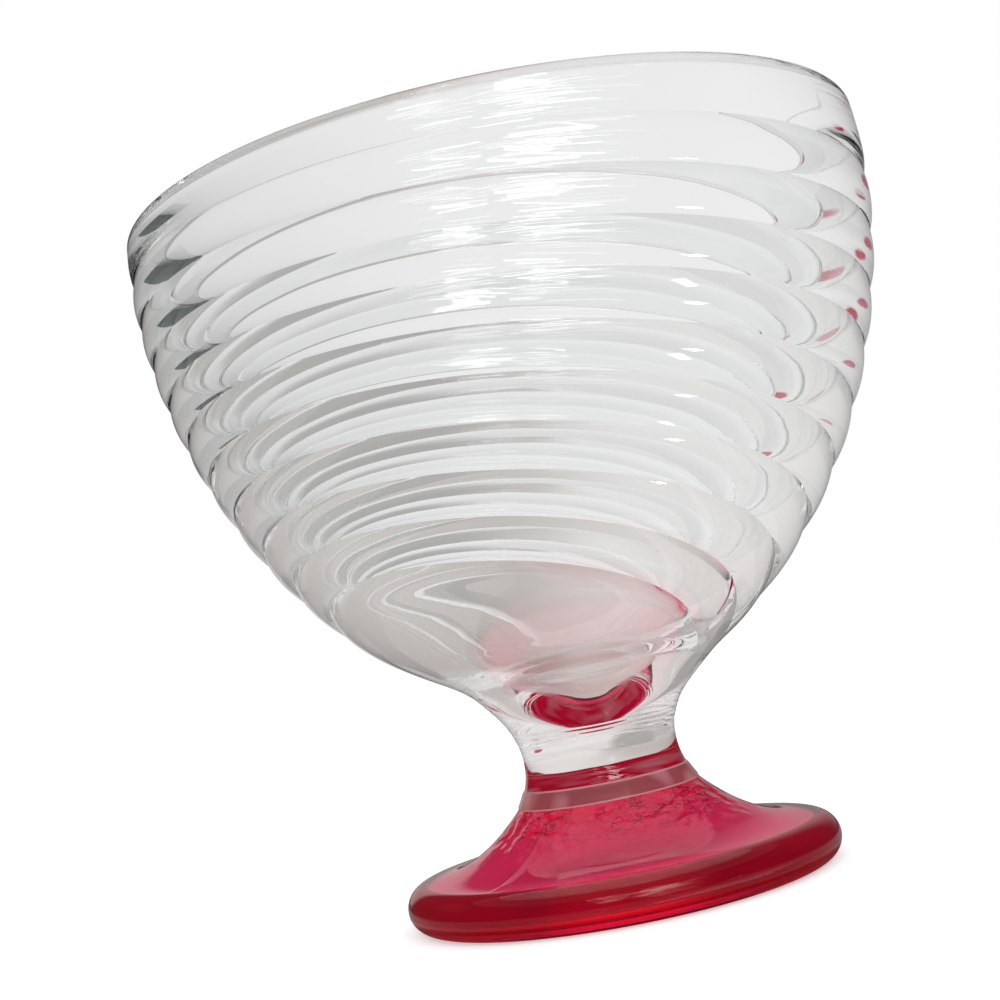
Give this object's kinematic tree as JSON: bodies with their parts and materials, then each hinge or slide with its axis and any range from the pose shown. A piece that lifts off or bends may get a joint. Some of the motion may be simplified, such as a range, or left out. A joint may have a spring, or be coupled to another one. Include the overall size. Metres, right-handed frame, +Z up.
{
  "type": "footed compote dish",
  "caption": "Round ribbed clear glass bowl on a short clear stem, sealed to a ruby disc foot; holds dessert or fruit and stands on a table.",
  "frame": {"origin": "centre of the resting face under the foot", "axes": "+Z up along the axis of the bowl, stem and foot; X and Y lie in the table's plane"},
  "size_m": [0.102, 0.102, 0.0986],
  "materials": {
    "clear_bowl": "fire-polished pressed glass",
    "clear_stem": "fire-polished pressed glass",
    "seal": "smooth, slightly cloudy",
    "ruby_foot": "fire-polished pressed glass"
  },
  "bodies": {
    "root": {"bowl": "clear_bowl", "stem": "clear_stem", "seal_ring": "seal", "foot": "ruby_foot"}
  },
  "joints": []
}
